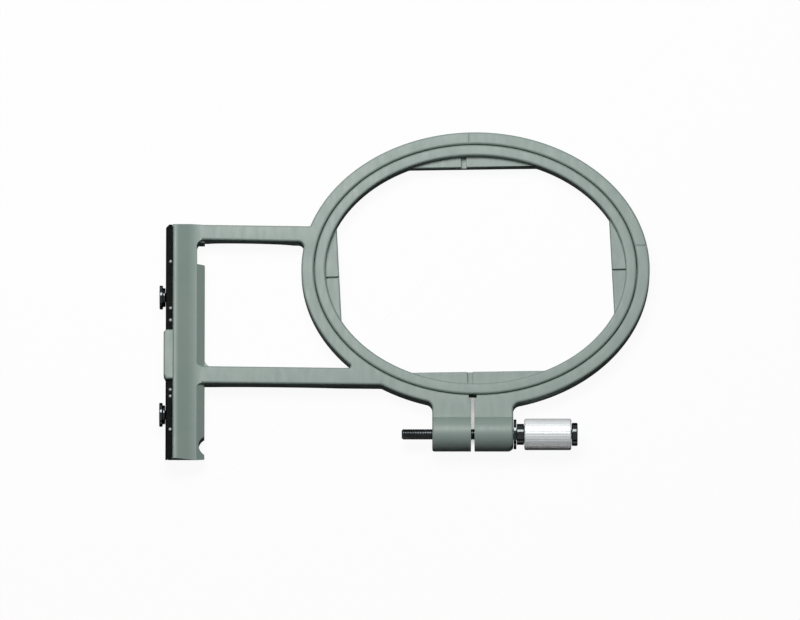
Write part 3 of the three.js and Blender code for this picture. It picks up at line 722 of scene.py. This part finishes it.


# The plate's near-black is partly its blackened finish and partly painted shade
def black_plate():
    material, tree, shader = node_material("black_sheet_and_painted_shade")
    shader.inputs["Specular IOR Level"].default_value = SHEET_SPECULAR
    stains = noise(tree, *SHEET_STAINS)
    scuffs = noise(tree, *SHEET_SCUFFS)
    grain = noise(tree, *SHEET_GRAIN)
    dress(
        tree,
        shader,
        blend_colours(tree, stains, BLACKENED_SHEET_AND_SHADE_COLOURS),
        ramp(tree, scuffs, *SHEET_ROUGHNESS),
        bump(tree, grain, SHEET_GRAIN_DEPTH, bevelled(tree, SHEET_BEVEL)),
    )
    return material


plastic = grey_plastic()
# Screw, cap, washer and studs carry the steel's painted dark reflection
steel_painted_dark_reflection = turned_metal("polished_steel_painted_dark_reflection", STEEL_PAINTED_DARK_REFLECTION_COLOURS, POLISHED_STEEL_ROUGHNESS)
rivet_steel = turned_metal("bright_rivet_steel", RIVET_COLOURS, RIVET_ROUGHNESS)
zinc_steel = turned_metal("zinc_plated_steel", ZINC_COLOURS, ZINC_ROUGHNESS)
bright_knurl = knurled_metal()
black_sheet_and_painted_shade = black_plate()


# Outer moulding


def ear_profile():
    crease = math.asin((ring_height - screw_z) / BARREL_RADIUS)
    root = -outer_rim.y + OUTER_WALL / 2
    barrel = arc(screw_y, screw_z, BARREL_RADIUS, -QUARTER, crease - TURN, BARREL_STEPS)
    points = polygon((root, 0), *barrel, (root, ring_height))
    return points[::-1]


def ridge_profile():
    crest_x = bar_left + RIDGE_EDGE
    crown = arc(crest_x, RIDGE_HEIGHT - RIDGE_EDGE, RIDGE_EDGE, math.pi, QUARTER)[:-1]
    round_z = RIDGE_HEIGHT - RIDGE_ROUND
    crown += arc(crest_x, round_z, RIDGE_ROUND, QUARTER, QUARTER - SLOPE_TILT)
    blend_z = ring_height + SLOPE_BLEND
    drop = crown[-1].y - blend_z + SLOPE_BLEND * math.cos(SLOPE_TILT)
    blend_x = crown[-1].x + drop / math.tan(SLOPE_TILT) + SLOPE_BLEND * math.sin(SLOPE_TILT)
    blend = arc(blend_x, blend_z, SLOPE_BLEND, -QUARTER - SLOPE_TILT, -QUARTER, BLEND_STEPS)
    foot = ring_height / 2
    points = polygon((bar_left, foot), *crown, *blend, (blend_x, foot))
    return points[::-1]


def lug_outline():
    half = LUG_LENGTH / 2
    root = bar_left + RIDGE_EDGE
    tail = lug_y - half - LUG_TAIL
    return polygon(
        (root, tail),
        (root, lug_y + half),
        (lug_left + LUG_CHAMFER, lug_y + half),
        (lug_left, lug_y + half - LUG_CHAMFER),
        (lug_left, tail + LUG_TAIL + LUG_CHAMFER),
        (lug_left + LUG_CHAMFER, tail),
    )


def build_flange():
    outer = bar_right + FLANGE_WIDTH
    root = bar_right - CUT_OVER
    top = upper_at_bar[0] - FLANGE_NOTCH_DROP
    bite_x = outer - FLANGE_BITE_DEPTH + FLANGE_BITE_RADIUS
    height = (-CUT_OVER, FLANGE_ROOT_HEIGHT + CUT_OVER)
    profile = polygon(
        (root, 0),
        (outer, 0),
        (outer, FLANGE_EDGE_HEIGHT),
        (bar_right, FLANGE_ROOT_HEIGHT),
        (root, FLANGE_ROOT_HEIGHT),
    )
    strip = made("flange", along_y([profile], bar_bottom, upper_arm_y))
    arm_y = lower_at_bar[1]
    inside = Vector((outer - CUT_OVER, arm_y - CUT_OVER))
    centre = Vector((outer + FLANGE_FILLET, arm_y + FLANGE_FILLET))
    corner = polygon(
        inside,
        (centre.x, inside.y),
        *arc(*centre, FLANGE_FILLET, -QUARTER, -math.pi),
        (inside.x, centre.y),
    )
    web = made("flange_web", slab([corner], 0, FLANGE_EDGE_HEIGHT))
    cuts = made(
        "flange_cuts",
        block((bar_right, outer + CUT_OVER), (top - FLANGE_NOTCH_LENGTH, top), height),
        bore_z(FLANGE_BITE_RADIUS, bite_x, bar_bottom + FLANGE_BITE_RISE, *height),
    )
    return combined(strip, ("UNION", web), ("DIFFERENCE", cuts))


def pockets():
    ribs = [stud_y["lower"] - RIB_OFFSET, stud_y["lower"] + RIB_OFFSET, lug_y]
    ribs += [stud_y["upper"] - RIB_OFFSET, stud_y["upper"] + RIB_OFFSET]
    starts = [bar_bottom + POCKET_TAIL_WALL] + [y + RIB_THICKNESS / 2 for y in ribs]
    ends = [y - RIB_THICKNESS / 2 for y in ribs] + [bar_top - POCKET_HEAD_WALL]
    x = (pocket_left, bar_right - BAR_WALL)
    return [block(x, y, (-CUT_OVER, POCKET_TOP)) for y in zip(starts, ends)]


def arm_arch(at_bar, at_ring, rise):
    rim_x = [-outer_rim.x * math.sqrt(1 - (y / outer_rim.y) ** 2) for y in at_ring]
    start = bar_right + ARCH_START
    end = min(rim_x) - ARM_RING_FILLET - ARCH_MARGIN

    def curve_point(t):
        along = (3 - 2 * t) * t * t
        return Vector((start + (end - start) * along, 3 * ARCH_LIFT * rise * t * (1 - t)))

    curve = sweep(0, 1, ARCH_STEPS, curve_point)
    outline = polygon((start, -CUT_OVER), *curve[1:-1], (end, -CUT_OVER))
    return along_y([outline[::-1]], at_ring[0] - CUT_OVER, at_bar[1] + CUT_OVER)


def head_lean():
    top = RIDGE_HEIGHT + CUT_OVER
    lean = HEAD_LEAN * (1 + CUT_OVER / (RIDGE_HEIGHT - ring_height))
    outline = polygon(
        (bar_top, ring_height),
        (bar_top + CUT_OVER, ring_height),
        (bar_top + CUT_OVER, top),
        (bar_top - lean, top),
    )
    return along_x([outline], bar_left - CUT_OVER, bar_right + HEAD_LEAN_REACH)


def end_lean():
    over = END_LEAN * CUT_OVER / ring_height
    outline = polygon(
        (bar_bottom - over, ring_height + CUT_OVER),
        (bar_bottom - CUT_OVER, ring_height + CUT_OVER),
        (bar_bottom - CUT_OVER, -CUT_OVER),
        (bar_bottom + END_LEAN + over, -CUT_OVER),
    )
    return along_x([outline], plate_low.x - CUT_OVER, bar_right + FLANGE_WIDTH + CUT_OVER)


def corner_cut(x, y, toward_x, toward_y, chamfer, z):
    reach = chamfer + CUT_OVER
    out_x, out_y = x - toward_x * CUT_OVER, y - toward_y * CUT_OVER
    triangle = polygon(
        (out_x, out_y),
        (x + toward_x * reach, out_y),
        (out_x, y + toward_y * reach),
    )
    if toward_x * toward_y < 0:
        triangle.reverse()
    return slab([triangle], *z)


def rivet_bores():
    places = [(low + high) / 2 for low, high in rivet_boxes.values()]
    height = (LEDGE_HEIGHT - RIVET_DEPTH, plate_high.z + CUT_OVER)
    return [bore_z(RIVET_BORE, p.x, p.y, *height) for p in places]


def stud_bores(start, end):
    return [bore_x(STUD_SHANK_RADIUS + FIT_GAP, start, end, y, stud_z) for y in stud_y.values()]


def build_outer_frame():
    oval = oval_arc(outer_bore, 0, TURN)[:-1]
    plan = [moulding_outline(), oval[::-1], window_outline()[::-1]]
    foot = screw_y - BARREL_RADIUS
    through = (-CUT_OVER, 2 * BARREL_RADIUS + CUT_OVER)
    nut_x = (clamp_nut_low.x - FIT_GAP, clamp_nut_high.x + FIT_GAP)
    nut_y = (clamp_nut_low.y - FIT_GAP, clamp_nut_high.y + FIT_GAP)
    nut_z = (-CUT_OVER, clamp_nut_high.z + FIT_GAP)
    end_hair_x = (outer_bore.x - CUT_OVER, outer_rim.x + CUT_OVER)
    side_hair_y = (outer_bore.y - CUT_OVER, outer_rim.y + CUT_OVER)
    hair_z = (ring_height - HAIRLINE_DEPTH, ring_height + CUT_OVER)
    ridge_y = (bar_bottom - BAR_END_EDGE, bar_top)
    ridge = made("ridge", along_y([ridge_profile()], *ridge_y, BAR_END_EDGE))
    tall_plan = made("tall_plan", slab(plan, 0, RIDGE_HEIGHT + CUT_OVER))
    combined(ridge, ("INTERSECT", tall_plan))
    ears = made("ears", along_x([ear_profile()], ear_left, ear_right, EAR_EDGE))
    ledge_y = (bar_bottom, bar_top - BAR_CORNER)
    ledge = made("ledge", block((ledge_left, bar_left + CUT_OVER), ledge_y, (0, LEDGE_HEIGHT)))
    lug = made("lug", slab([lug_outline()], LUG_BOTTOM, LUG_TOP, LUG_EDGE))
    hollows = made("hollows", *pockets())
    slots = made(
        "slots",
        block((slit_left, slit_right), (foot - CUT_OVER, -inner_rim.y), through),
        block(end_hair_x, about(END_HAIRLINE_Y, HAIRLINE_WIDTH), hair_z),
        block(about(SIDE_HAIRLINE_X, HAIRLINE_WIDTH), side_hair_y, hair_z),
        corner_cut(ear_right, foot, -1, 1, EAR_CHAMFER, through),
        arm_arch(upper_at_bar, upper_at_ring, UPPER_ARM_ARCH),
        arm_arch(lower_at_bar, lower_at_ring, LOWER_ARM_ARCH),
        head_lean(),
        end_lean(),
        *stud_bores(ledge_left - CUT_OVER, pocket_left + CUT_OVER),
        *rivet_bores(),
    )
    relief = made(
        "relief",
        block(about(slit_x, RELIEF_WIDTH), (-outer_bore.y - RELIEF_DEPTH, -inner_rim.y), through),
        bore_x(SCREW_RADIUS + FIT_GAP, ear_left - CUT_OVER, ear_right + CUT_OVER, screw_y, screw_z),
    )
    nut_slot = made("nut_slot", block(nut_x, nut_y, nut_z))
    moulding = made("outer_moulding", slab(plan, 0, ring_height, RING_EDGE))
    return combined(
        moulding,
        ("UNION", ears),
        ("UNION", ledge),
        ("UNION", ridge),
        ("UNION", lug),
        ("UNION", build_flange()),
        ("DIFFERENCE", hollows),
        ("DIFFERENCE", slots),
        ("DIFFERENCE", relief),
        ("DIFFERENCE", nut_slot),
    )


# Inner ring


def tab_span(oval, direction, distance):
    """Where a chord square to a direction, at a distance from the middle, cuts an oval."""
    across = oval_point(oval, direction)
    middle = math.atan2(across.y, across.x)
    half = math.acos(distance / across.length)
    return middle - half, middle + half


def build_inner_ring():
    section = [oval_arc(inner_rim, 0, TURN)[:-1], oval_arc(inner_hole, 0, TURN)[:-1][::-1]]
    wall = made("inner_moulding", slab(section, 0, ring_height, RING_EDGE, RING_FOOT))
    root = inner_hole + Vector((INNER_WALL, INNER_WALL)) / 2
    end_x, side_y = FIELD[0] / 2, FIELD[1] / 2
    shift = SIDE_TAB_SHIFT * math.cos(SIDE_TAB_LEAN)
    spans = [
        tab_span(root, END_TAB_LEAN, end_x),
        tab_span(root, SIDE_TAB_LEAN + QUARTER, side_y + shift),
        tab_span(root, END_TAB_LEAN + math.pi, end_x),
        tab_span(root, SIDE_TAB_LEAN - QUARTER, side_y - shift),
    ]
    z = (TAB_TOP - TAB_THICKNESS, TAB_TOP)
    tabs = made("tabs", *[slab([oval_arc(root, *span)], *z, TAB_EDGE) for span in spans])
    end_mark = about(END_MARK_SHIFT, END_MARK_WIDTH)
    side_mark = about(SIDE_MARK_SHIFT, SIDE_MARK_WIDTH)
    end_z = (TAB_TOP - END_MARK_DEPTH, TAB_TOP + CUT_OVER)
    side_z = (TAB_TOP - SIDE_MARK_DEPTH, TAB_TOP + CUT_OVER)
    marks = made(
        "marks",
        block((end_x - CUT_OVER, inner_hole.x), end_mark, end_z),
        block((-inner_hole.x, CUT_OVER - end_x), end_mark, end_z),
        block(side_mark, (side_y - CUT_OVER, inner_hole.y), side_z),
        block(side_mark, (-inner_hole.y, CUT_OVER - side_y), side_z),
    )
    marks.data.transform(Matrix.Rotation(MARK_LEAN, 4, "Z"))
    combined(tabs, ("DIFFERENCE", marks))
    return combined(wall, ("UNION", tabs))


seat(build_outer_frame(), plastic, "grey_plastic", "frame", "outer_frame")
seat(build_inner_ring(), plastic, "grey_plastic", "inner_ring", "inner_ring")


# Clamp screw, knob, washer and nut


def thread_radius(along, limit):
    def radius(angle):
        phase = (along / THREAD_PITCH - angle / TURN) % 1
        tooth = min(1, max(0, THREAD_FLANK * abs(phase - 0.5) - THREAD_ROOT))
        return min(limit, SCREW_RADIUS - THREAD_DEPTH * (1 - tooth))

    return radius


def on_screw_axis(name, bm):
    return made(name, moved(bm, 0, screw_y, screw_z))


def build_clamp_screw():
    tip = screw_low.x
    end = slit_right + THREAD_PITCH
    count = round((end - tip) / THREAD_PITCH * THREAD_ROWS)
    rows = [(tip, 0)]
    for i in range(count + 1):
        along = tip + (end - tip) * i / count
        limit = SCREW_RADIUS - SCREW_TIP_CHAMFER + along - tip
        rows.append((along, thread_radius(along, limit)))
    neck = washer_high.x + FIT_GAP
    core = sleeve_high.x
    rest = softened([
        (end + THREAD_PITCH, SCREW_RADIUS),
        (neck, SCREW_RADIUS),
        (neck, NECK_RADIUS),
        (neck + NECK_LENGTH, NECK_RADIUS),
        (neck + NECK_LENGTH, CORE_RADIUS),
        (core, CORE_RADIUS),
        (core, CAP_PIN_RADIUS + FIT_GAP),
        (cap_low.x - FIT_GAP, CAP_PIN_RADIUS + FIT_GAP),
        (cap_low.x - FIT_GAP, 0),
    ], SCREW_EDGE)
    return on_screw_axis("thumb_screw_shaft", spun(rows + rest, SCREW_STEPS))


def build_knob_sleeve():
    start, end = sleeve_low.x, sleeve_high.x
    bore = CORE_RADIUS + FIT_GAP

    def fluted(limit):
        def radius(angle):
            phase = (angle * FLUTE_COUNT / TURN) % 1
            groove = max(0, 1 - abs(phase - 0.5) / FLUTE_HALF_WIDTH)
            return min(limit, KNOB_RADIUS - FLUTE_DEPTH * groove)

        return radius

    rim = KNOB_RADIUS - KNOB_EDGE
    rounds = [
        (KNOB_EDGE * t, fluted(KNOB_RADIUS - KNOB_EDGE * (1 - t) ** 2))
        for t in KNOB_EDGE_ROWS
    ]
    rows = [(start, bore), (start, rim)]
    rows += [(start + inward, radius) for inward, radius in rounds]
    rows += [(start + (end - start) * t, fluted(KNOB_RADIUS)) for t in KNOB_BODY_ROWS]
    rows += [(end - inward, radius) for inward, radius in reversed(rounds)]
    rows += [(end, rim), (end, bore)]
    return on_screw_axis("knurled_sleeve", spun(rows, FLUTE_COUNT * FLUTE_STEPS, closed=True))


def build_end_cap():
    radius = (cap_high.z - cap_low.z) / 2
    face = cap_high.x
    back = sleeve_high.x + FIT_GAP
    profile = softened([
        (cap_low.x, 0),
        (cap_low.x, CAP_PIN_RADIUS),
        (back, CAP_PIN_RADIUS),
        (back, radius),
        (face, radius),
        (face, 0),
    ], CAP_EDGE, CAP_EDGE_STEPS)
    return on_screw_axis("knob_button", spun(profile))


def build_washer():
    radius = (washer_high.z - washer_low.z) / 2
    bore = SCREW_RADIUS + FIT_GAP
    profile = softened([
        (washer_low.x, bore),
        (washer_low.x, radius),
        (washer_high.x, radius),
        (washer_high.x, bore),
    ], WASHER_EDGE)
    return on_screw_axis("polished_washer", spun(profile, closed=True))


def build_nut(name, sides, low, high, bore):
    width = high.z - low.z
    corner = width / 2 / math.cos(math.pi / sides)
    first = QUARTER + math.pi / sides
    outline = [polar(corner, first + TURN * i / sides) for i in range(sides)]
    nut = along_x([outline, circle(bore)[::-1]], low.x, high.x, NUT_EDGE)
    return made(name, moved(nut, 0, (low.y + high.y) / 2, (low.z + high.z) / 2))


seat(build_clamp_screw(), steel_painted_dark_reflection, "polished_steel", "thumb_screw", "clamp_screw")
seat(build_knob_sleeve(), bright_knurl, "bright_metal", "thumb_screw", "knob_sleeve")
seat(build_end_cap(), steel_painted_dark_reflection, "polished_steel", "thumb_screw", "knob_end_cap")
seat(build_washer(), steel_painted_dark_reflection, "polished_steel", "washer", "thrust_washer")
square_nut = build_nut(
    "square_clamp_nut",
    SQUARE_NUT_SIDES,
    clamp_nut_low,
    clamp_nut_high,
    SCREW_RADIUS + FIT_GAP,
)
seat(square_nut, zinc_steel, "zinc_steel", "frame", "clamp_nut")


# Connector plate, studs and rivets


def build_plate():
    lip_bottom = plate_high.z - PLATE_THICKNESS
    left, right, bottom = plate_low.x, plate_low.x + PLATE_THICKNESS, plate_low.z
    profile = polygon(
        (left, bottom),
        (right, bottom),
        (right, lip_bottom),
        (plate_high.x, lip_bottom),
        (plate_high.x, plate_high.z),
        *arc(left + PLATE_BEND, plate_high.z - PLATE_BEND, PLATE_BEND, QUARTER, math.pi),
    )
    strip = made("black_plate", along_y([profile], plate_low.y, plate_high.y, PLATE_EDGE))
    half = LUG_LENGTH / 2 + FIT_GAP
    across = (left - CUT_OVER, plate_high.x + CUT_OVER)
    notch_z = (LUG_BOTTOM - FIT_GAP, plate_high.z + CUT_OVER)
    through = (bottom - CUT_OVER, plate_high.z + CUT_OVER)
    cuts = made(
        "plate_cuts",
        block(across, (lug_y - half - LUG_TAIL, lug_y + half), notch_z),
        corner_cut(left, plate_high.y, 1, -1, PLATE_CORNER, through),
        end_lean(),
        *stud_bores(left - CUT_OVER, right + CUT_OVER),
        *rivet_bores(),
    )
    return combined(strip, ("DIFFERENCE", cuts))


def build_stud(side):
    low, high = stud_boxes[side]
    head = (high.z - low.z) / 2
    head_end = low.x + STUD_HEAD_LENGTH
    seat = head_end + STUD_NECK_LENGTH
    profile = softened([
        (low.x, 0),
        (low.x, head),
        (head_end, head),
        (head_end, STUD_NECK_RADIUS),
        (seat, STUD_NECK_RADIUS),
        (seat, STUD_SHANK_RADIUS),
        (high.x, STUD_SHANK_RADIUS),
        (high.x, 0),
    ], STUD_EDGE, STUD_EDGE_STEPS)
    return made(f"{side}_headed_stud", moved(spun(profile), 0, stud_y[side], stud_z))


def build_rivet(name):
    low, high = rivet_boxes[name]
    head = (high.x - low.x) / 2
    seat = high.z - RIVET_HEAD_HEIGHT

    def dome_point(t):
        return seat + RIVET_HEAD_HEIGHT * math.sin(t), head * math.cos(t)

    dome = sweep(0, QUARTER, DOME_STEPS, dome_point)
    shank = [(low.z, 0), (low.z, RIVET_SHANK_RADIUS), (seat, RIVET_SHANK_RADIUS)]
    rivet = spun([*shank, *dome[:-1], (high.z, 0)], RIVET_STEPS)
    rivet.transform(Matrix.Rotation(-QUARTER, 4, "Y"))
    moved(rivet, (low.x + high.x) / 2, (low.y + high.y) / 2)
    return made(name.replace("plate", "domed"), rivet)


seat(build_plate(), black_sheet_and_painted_shade, "black_steel", "frame", "connector_plate")
for side in STUD_SIDES:
    seat(build_stud(side), steel_painted_dark_reflection, "polished_steel", "frame", f"{side}_stud")
    bore = STUD_SHANK_RADIUS + FIT_GAP
    nut = build_nut(f"{side}_hex_nut", HEX_NUT_SIDES, *stud_nut_boxes[side], bore)
    seat(nut, zinc_steel, "zinc_steel", "frame", f"{side}_stud_nut")
for name in rivet_names:
    seat(build_rivet(name), rivet_steel, "bright_metal", "frame", name)


# Floor, light and camera


def calculated(tree, operation, *values):
    """A Math node whose inputs are linked sockets or plain numbers."""
    node = added(tree, "ShaderNodeMath", operation=operation)
    for socket, value in zip(node.inputs, values):
        if isinstance(value, bpy.types.NodeSocket):
            tree.links.new(value, socket)
        else:
            socket.default_value = value
    return node.outputs[0]


def mirrored_share(tree, rays):
    """One for the rays that a shiny or clear surface sends on, and zero for others."""
    return calculated(
        tree, "MAXIMUM", rays.outputs["Is Glossy Ray"], rays.outputs["Is Transmission Ray"]
    )


def occlusion(tree, reach):
    node = added(
        tree, "ShaderNodeAmbientOcclusion", samples=OCCLUSION_SAMPLES, Distance=reach
    )
    return node.outputs["AO"]


def floor_material():
    """White to the camera and to mirrored rays, with painted shadow from ambient occlusion where
    the hoop covers it.
    """
    material = bpy.data.materials.new("pale_floor")
    material.use_nodes = True
    tree = material.node_tree
    tree.nodes.clear()
    rays = tree.nodes.new("ShaderNodeLightPath")
    # Painted shadow: the white seen by the camera goes dark in narrow gaps, and the white seen in
    # reflections goes dark near the hoop
    seen_with_painted_shadow = ramp(tree, occlusion(tree, SHADOW_PAINT_REACH), 0, FLOOR_WHITE, SHADOW_PAINT_BAND)
    reflected_with_painted_shade = ramp(tree, occlusion(tree, REFLECTED_SHADE_REACH), 0, FLOOR_WHITE, REFLECTED_SHADE_BAND)
    direct = calculated(tree, "MULTIPLY", rays.outputs["Is Camera Ray"], seen_with_painted_shadow)
    strength = calculated(
        tree, "MULTIPLY_ADD", mirrored_share(tree, rays), reflected_with_painted_shade, direct
    )
    diffuse = added(tree, "ShaderNodeBsdfDiffuse", Color=FLOOR_COLOUR)
    white = added(tree, "ShaderNodeEmission", Color=(1, 1, 1, 1))
    both = tree.nodes.new("ShaderNodeAddShader")
    output = tree.nodes.new("ShaderNodeOutputMaterial")
    tree.links.new(strength, white.inputs["Strength"])
    tree.links.new(diffuse.outputs[0], both.inputs[0])
    tree.links.new(white.outputs[0], both.inputs[1])
    tree.links.new(both.outputs[0], output.inputs["Surface"])
    return material


def build_floor():
    mesh = bpy.data.meshes.new("floor")
    corners = rectangle((-FLOOR_REACH, FLOOR_REACH), (-FLOOR_REACH, FLOOR_REACH))
    mesh.from_pydata([(p.x, p.y, -FLOOR_DROP) for p in corners], [], [(0, 1, 2, 3)])
    mesh.materials.append(floor_material())
    floor = bpy.data.objects.new("floor", mesh)
    bpy.context.scene.collection.objects.link(floor)


def build_world():
    """A faint sky that shiny surfaces see brighter, above the horizon alone."""
    world = bpy.data.worlds.new("studio")
    world.use_nodes = True
    tree = world.node_tree
    rays = tree.nodes.new("ShaderNodeLightPath")
    place = tree.nodes.new("ShaderNodeTexCoord")
    upward = added(tree, "ShaderNodeVectorMath", operation="DOT_PRODUCT")
    upward.inputs[1].default_value = SKY_UP
    tree.links.new(place.outputs["Generated"], upward.inputs[0])
    glow = ramp(tree, upward.outputs["Value"], 0, SKY_GLOW, SKY_BAND)
    strength = calculated(
        tree, "MULTIPLY_ADD", mirrored_share(tree, rays), glow, SKY_AMBIENT
    )
    background = tree.nodes["Background"]
    background.inputs["Color"].default_value = SKY_COLOUR
    tree.links.new(strength, background.inputs["Strength"])
    bpy.context.scene.world = world


def build_lamp():
    data = bpy.data.lights.new("overhead_box", "AREA")
    data.shape = "RECTANGLE"
    data.size, data.size_y = LAMP_SIZE
    data.energy = LAMP_POWER
    lamp = bpy.data.objects.new("overhead_box", data)
    lamp.location = LAMP_PLACE
    lamp.rotation_euler = (-LAMP_PLACE).to_track_quat("-Z", "Y").to_euler()
    lamp.visible_camera = False
    bpy.context.scene.collection.objects.link(lamp)


def build_camera():
    data = bpy.data.cameras.new("camera")
    data.lens = CAMERA_LENS
    data.sensor_width = CAMERA_SENSOR
    data.clip_end = CAMERA_REACH
    camera = bpy.data.objects.new("camera", data)
    outward = Vector((0, -math.cos(CAMERA_ELEVATION), math.sin(CAMERA_ELEVATION)))
    distance = PICTURE_WIDTH * MM * CAMERA_LENS / CAMERA_SENSOR
    camera.location = (CAMERA_AIM + home) * MM + outward * distance
    camera.rotation_euler = (-outward).to_track_quat("-Z", "Y").to_euler()
    bpy.context.scene.collection.objects.link(camera)
    bpy.context.scene.camera = camera


build_floor()
build_world()
build_lamp()
build_camera()
bpy.context.scene.view_settings.view_transform = "Standard"
